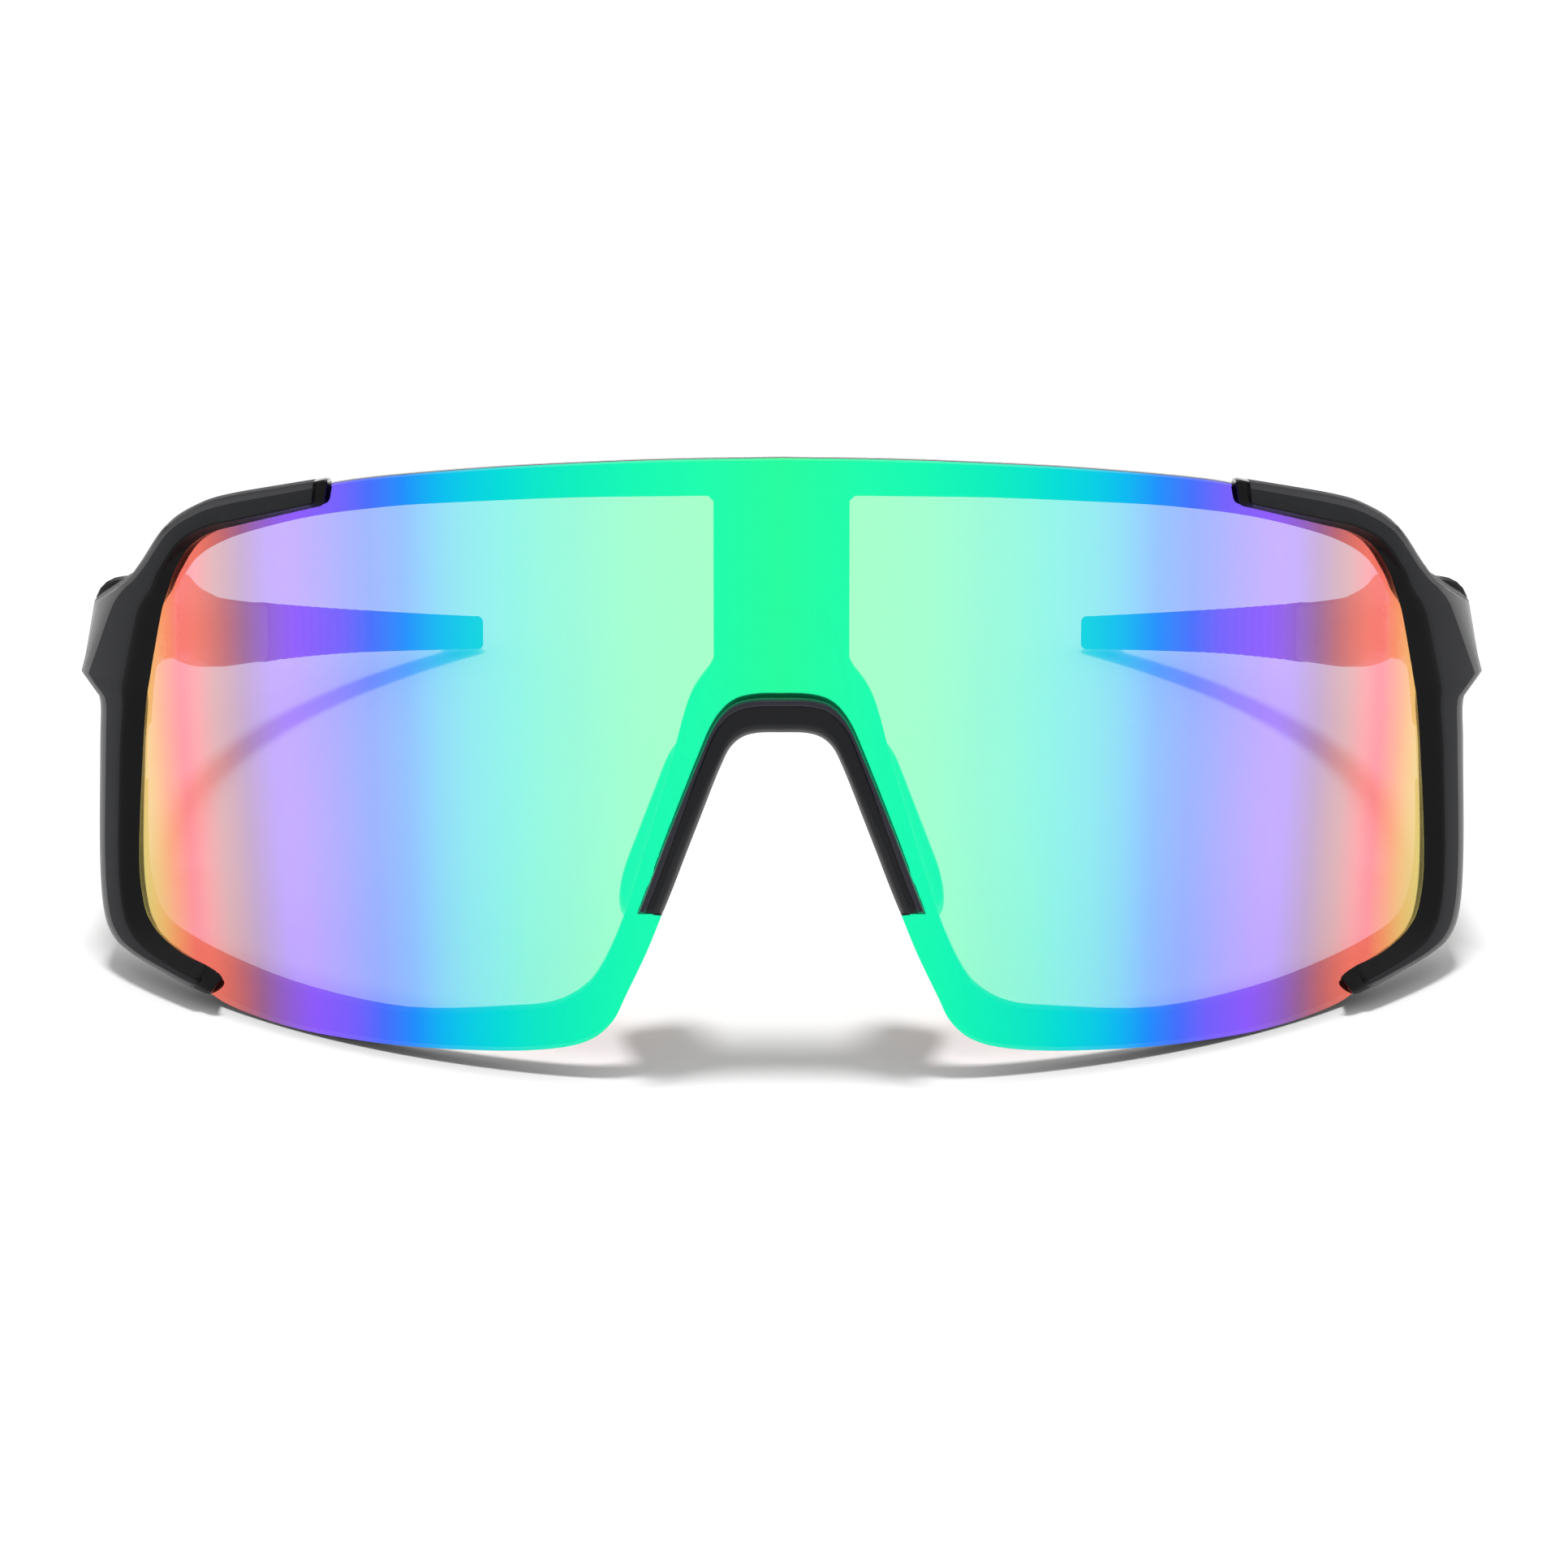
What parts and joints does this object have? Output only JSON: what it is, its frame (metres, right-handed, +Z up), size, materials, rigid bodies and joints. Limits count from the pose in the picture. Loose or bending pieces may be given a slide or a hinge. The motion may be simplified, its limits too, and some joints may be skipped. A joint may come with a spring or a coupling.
{
  "type": "sport sunglasses",
  "caption": "Wraparound sport sunglasses: one curved mirror shield lens in a rear frame with side clamps, nose saddle and two folding temples.",
  "frame": {"origin": "middle of the bounding box, on the surface the glasses rest on with their temples open", "axes": "+X to the wearer's left, +Y backwards along the temples, +Z up; the lens leans back as the glasses rest on their lower rim and temple tips"},
  "size_m": [0.146, 0.1522, 0.0621],
  "materials": {
    "frame": "satin moulded nylon",
    "lens": "polished, mirror coated, see-through",
    "saddle": "smooth soft rubber",
    "pad": "matte soft rubber",
    "temple": "satin moulded nylon",
    "grip": "matte soft rubber",
    "hinge": "brushed"
  },
  "bodies": {
    "front": {"main_frame": "frame", "shield_lens": "lens", "nose_saddle": "saddle", "nose_pad_left": "pad", "nose_pad_right": "pad", "frame_leaf_left": "hinge", "frame_leaf_right": "hinge", "hinge_screw_left": "hinge", "hinge_screw_right": "hinge", "frame_leaf_screws_left": "hinge", "frame_leaf_screws_right": "hinge"},
    "left_temple": {"temple_left": "temple", "ear_grip_left": "grip", "temple_leaf_left": "hinge", "temple_leaf_screws_left": "hinge"},
    "right_temple": {"temple_right": "temple", "ear_grip_right": "grip", "temple_leaf_right": "hinge", "temple_leaf_screws_right": "hinge"}
  },
  "joints": [
    {"name": "left_temple_fold", "type": "hinge", "parent": "front", "child": "left_temple", "pos_m": [0.0663, -0.02251, 0.03273], "axis": [0, 0.1564, 0.9877], "range_deg": [0, 88]},
    {"name": "right_temple_fold", "type": "hinge", "parent": "front", "child": "right_temple", "pos_m": [-0.0663, -0.02251, 0.03273], "axis": [0, -0.1564, -0.9877], "range_deg": [0, 74]}
  ]
}
